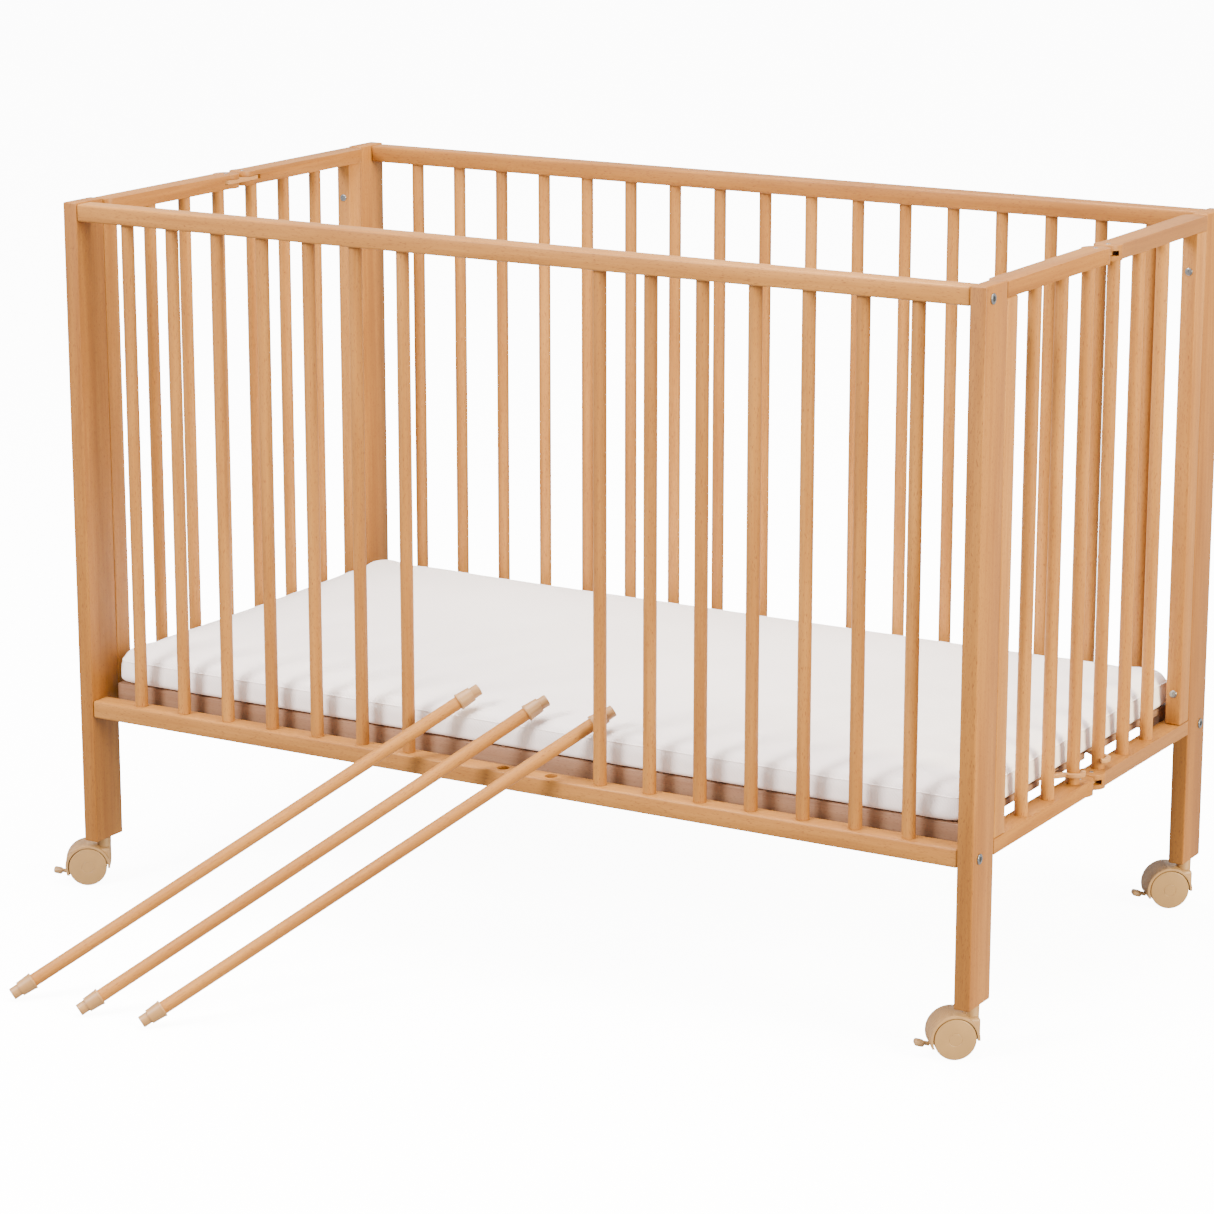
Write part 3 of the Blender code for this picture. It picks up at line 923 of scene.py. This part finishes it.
wheels = join([wheel_disc(-1), wheel_disc(1), across("axle", 0.0025, -0.006, 0.006, 24)], "wheels_pattern")
smooth(wheels, 30)
disc_plastic.wear(wheels)

PEDAL_AT = Vector((-TRAIL - 0.0315, 0, 0.0155))
pedal = block(
    "pedal_pattern",
    PEDAL_AT + Vector((-0.0130, -0.0066, -0.0048)),
    PEDAL_AT + Vector((-0.0010, 0.0066, 0.0022)),
)
bring_in(pedal, "BEVEL", width=0.0030, segments=4, limit_method="ANGLE")
neck = block(
    "neck",
    PEDAL_AT + Vector((-0.0030, -0.0035, -0.0022)),
    PEDAL_AT + Vector((0.0050, 0.0035, 0.0016)),
)
bring_in(neck, "BEVEL", width=0.0008, segments=2, limit_method="ANGLE")
combine(pedal, neck, "UNION")
pick(pedal)
bpy.ops.transform.rotate(value=math.radians(-14), orient_axis="Y", center_override=PEDAL_AT)
settle(pedal)
smooth(pedal, 40)
hood_plastic.wear(pedal)
print("wheels and pedal")

# %% Four casters
STEM_IN_X, STEM_IN_Y = post_thick / 2, 0.0545 / 2
for side_word, side, end_word, end in CORNERS:
    corner = f"{side_word}_{end_word}"
    stem = Vector((PEN.x + end * (HALF_LENGTH - STEM_IN_X), PEN.y + side * (HALF_DEPTH - STEM_IN_Y), 0))
    swivel = REAR_LEFT_TURN if corner == "rear_left" else CASTER_TURN
    move = Matrix.Translation(stem) @ Matrix.Rotation(swivel, 4, "Z")
    for pattern, name, node, slot_name, body in (
        (hood, f"caster_hood_{corner}", f"hood_{corner}", "caster_plastic", f"caster_{corner}"),
        (wheels, f"caster_wheels_{corner}", f"wheels_{corner}", "wheel_plastic", f"wheel_pair_{corner}"),
        (pedal, f"caster_pedal_{corner}", f"brake_{corner}", "caster_plastic", f"pedal_{corner}"),
    ):
        piece = twin(pattern, name, move)
        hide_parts(node)
        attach(piece, body)
for pattern in (hood, wheels, pedal):
    bpy.data.objects.remove(pattern)
print("4 casters")

# %% [markdown]
# ## The mattress
#
# A foam core in a knitted cover: a slab with generous round edges and upright corners. The cover is a
# little loose on the foam, which is what makes its edges wander. So the slab gets an even fine mesh,
# its underside is held, and the cloth is blown up a little from inside and left to settle. How far
# it may move is limited, so that the mattress keeps its size between the bars.

# %% Foam slab
MOST_SWELL = 0.0045
CORNER_ROUND = 0.028
TOP_ROUND = 0.0125
BOTTOM_ROUND = 0.0045
bed_low, bed_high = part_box("mattress")
bed = block("mattress_cover", bed_low, bed_high - Vector((0, 0, MOST_SWELL * 0.4)))
select_edges(bed, lambda a, b: abs(a.z - b.z) > 0.01)
bpy.ops.mesh.bevel(offset=CORNER_ROUND, segments=6, affect="EDGES")
bpy.ops.object.mode_set(mode="OBJECT")
middle_z = (bed_low.z + bed_high.z) / 2
select_edges(bed, lambda a, b: min(a.z, b.z) > middle_z)
bpy.ops.mesh.bevel(offset=TOP_ROUND, segments=5, affect="EDGES")
bpy.ops.object.mode_set(mode="OBJECT")
select_edges(bed, lambda a, b: max(a.z, b.z) < bed_low.z + 0.001)
bpy.ops.mesh.bevel(offset=BOTTOM_ROUND, segments=3, affect="EDGES")
bpy.ops.object.mode_set(mode="OBJECT")
bring_in(bed, "REMESH", mode="VOXEL", voxel_size=0.0085)
bring_in(bed, "SMOOTH", factor=0.5, iterations=3)
print("foam slab with", len(bed.data.vertices), "points")

# %% Cloth over the foam
FRAMES = 18
PRESSURE = 3.0
before = [v.co.copy() for v in bed.data.vertices]
held = bed.vertex_groups.new(name="held")
held.add([v.index for v in bed.data.vertices if v.co.z < bed_low.z + 0.006], 1.0, "REPLACE")
cloth = bed.modifiers.new("cloth", "CLOTH")
cloth.settings.quality = 4
cloth.settings.mass = 0.25
cloth.settings.tension_stiffness = 12
cloth.settings.compression_stiffness = 6
cloth.settings.shear_stiffness = 4
cloth.settings.bending_stiffness = 0.3
cloth.settings.shrink_min = -0.012
cloth.settings.use_pressure = True
cloth.settings.uniform_pressure_force = PRESSURE
cloth.settings.vertex_group_mass = "held"
cloth.settings.effector_weights.gravity = 0
cloth.collision_settings.use_self_collision = False
cloth.point_cache.frame_start, cloth.point_cache.frame_end = 1, FRAMES
for step in range(1, FRAMES + 1):
    bpy.context.scene.frame_set(step)
pick(bed)
bpy.ops.object.modifier_apply(modifier=cloth.name)
bpy.context.scene.frame_set(1)
moves = [v.co - p for v, p in zip(bed.data.vertices, before)]
longest = max(m.length for m in moves)
for vertex, start, move in zip(bed.data.vertices, before, moves):
    reach = move.length
    if reach > 0:
        vertex.co = start + move * (MOST_SWELL * math.tanh(reach / MOST_SWELL) / reach)
print(f"the cloth moved {1000 * longest:.1f} mm at most")
bring_in(bed, "SUBSURF", levels=1, render_levels=1)
smooth(bed, 60)
cover_cloth.wear(bed)
print("mattress from", [round(v, 4) for v in map(min, zip(*[v.co for v in bed.data.vertices]))])

# %% Seam round the cover
SEAM_HEIGHT = bed_high.z - 0.0130
seam = bed.copy()
seam.data = bed.data.copy()
bpy.context.scene.collection.objects.link(seam)
pick(seam)
bpy.ops.object.mode_set(mode="EDIT")
bpy.ops.mesh.select_all(action="SELECT")
bpy.ops.mesh.bisect(
    plane_co=(PEN.x, PEN.y, SEAM_HEIGHT), plane_no=(0, 0, 1), clear_inner=True, clear_outer=True
)
bpy.ops.object.mode_set(mode="OBJECT")
pick(seam)
bpy.ops.object.convert(target="CURVE")
seam = bpy.context.object
seam.data.bevel_depth = 0.0008
seam.data.bevel_resolution = 2
bpy.ops.object.convert(target="MESH")
seam = bpy.context.object
seam.name = seam.data.name = "mattress_seam"
smooth(seam, 60)
cover_cloth.wear(seam)
for piece in (bed, seam):
    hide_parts("mattress")
    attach(piece, "mattress")
print("seam with", len(seam.data.vertices), "points")

# %% [markdown]
# ## Stage, light and camera
#
# The pen stands on a plain pale floor that runs far behind it. A bright even sky gives the soft base
# light, a large panel stands in front on the left and another on the right.

# %% Floor
floor_board = Board("pale_floor")
floor_board.shader.inputs["Base Color"].default_value = (0.92, 0.92, 0.92, 1)
floor_board.shader.inputs["Roughness"].default_value = 0.9
floor_board.shader.inputs["Emission Color"].default_value = (1, 1, 1, 1)
floor_board.shader.inputs["Emission Strength"].default_value = 11.0
bpy.ops.object.select_all(action="DESELECT")
bpy.ops.mesh.primitive_plane_add(size=160, location=(PEN.x, PEN.y + 40, -0.0005))
ground = bpy.context.object
ground.name = "floor"
ground.visible_diffuse = False
ground.visible_glossy = False
floor_board.wear(ground)
ground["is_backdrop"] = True

# %% Lights
world = bpy.data.worlds.new("studio")
bpy.context.scene.world = world
world.use_nodes = True
world.node_tree.nodes["Background"].inputs["Color"].default_value = (1, 0.985, 0.96, 1)
world.node_tree.nodes["Background"].inputs["Strength"].default_value = 1.1


def panel(name, at, aim, size, power, tint=(1, 1, 1)):
    """A square light panel that faces a point."""
    data = bpy.data.lights.new(name, "AREA")
    data.size, data.energy, data.color = size, power, tint
    lamp = bpy.data.objects.new(name, data)
    bpy.context.scene.collection.objects.link(lamp)
    lamp.location = at
    lamp.rotation_euler = (Vector(aim) - Vector(at)).to_track_quat("-Z", "Y").to_euler()
    return lamp


AIM = (PEN.x, PEN.y, 0.45)
panel("panel_front_left", (-1.6, -3.6, 3.0), AIM, 1.4, 400, (1.0, 0.965, 0.95))
panel("panel_right", (5.5, -0.8, 2.2), AIM, 2.4, 860, (1.0, 0.90, 0.62))
panel("panel_above", (0.0, 0.2, 4.6), AIM, 2.4, 440)

# %% Camera
lens = bpy.data.cameras.new("camera")
lens.lens = 114.54
lens.sensor_width = 36
lens.clip_end = 200
camera = bpy.data.objects.new("camera", lens)
bpy.context.scene.collection.objects.link(camera)
camera.location = Vector((2.3696, -4.0772, 1.5667)) + PEN
camera.rotation_euler = (math.radians(75.837), 0, math.radians(30.660))
bpy.context.scene.camera = camera

low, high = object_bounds()
print("the finished pen fills", [round(v, 3) for v in (*low, *high)])
